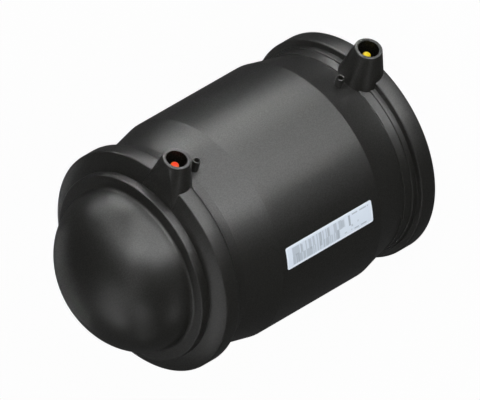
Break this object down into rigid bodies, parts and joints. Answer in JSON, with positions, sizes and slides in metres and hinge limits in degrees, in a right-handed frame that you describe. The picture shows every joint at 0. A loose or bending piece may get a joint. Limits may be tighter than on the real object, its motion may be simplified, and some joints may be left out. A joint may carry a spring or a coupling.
{
  "type": "electrofusion end cap",
  "caption": "Black polyethylene electrofusion end cap: pipe socket with a heating coil in its bore, closed by a domed plug, with terminal shrouds.",
  "frame": {"origin": "centre of the open mouth, in the plane of the mouth face", "axes": "+Z along the cap's axis from the mouth to the dome, +X towards the two terminal shrouds"},
  "size_m": [0.125, 0.112, 0.1751],
  "materials": {
    "black_body": "black moulded polyethylene, satin with a fine grain",
    "black_plug": "black moulded polyethylene, satin with a fine grain",
    "resistance_wire": "drawn copper alloy wire",
    "pin_brass": "turned brass",
    "yellow_tip": "glossy yellow plastic",
    "red_tip": "glossy orange-red plastic",
    "indicator_black": "plain black polyethylene",
    "label_white": "printed white film label"
  },
  "bodies": {
    "root": {"coupler_body": "black_body", "dome_plug": "black_plug", "heating_coil": "resistance_wire", "mouth_terminal_pin": "pin_brass", "dome_terminal_pin": "pin_brass", "mouth_pin_tip": "yellow_tip", "dome_pin_tip": "red_tip", "mouth_fusion_indicator": "indicator_black", "dome_fusion_indicator": "indicator_black", "barcode_label": "label_white"}
  },
  "joints": []
}
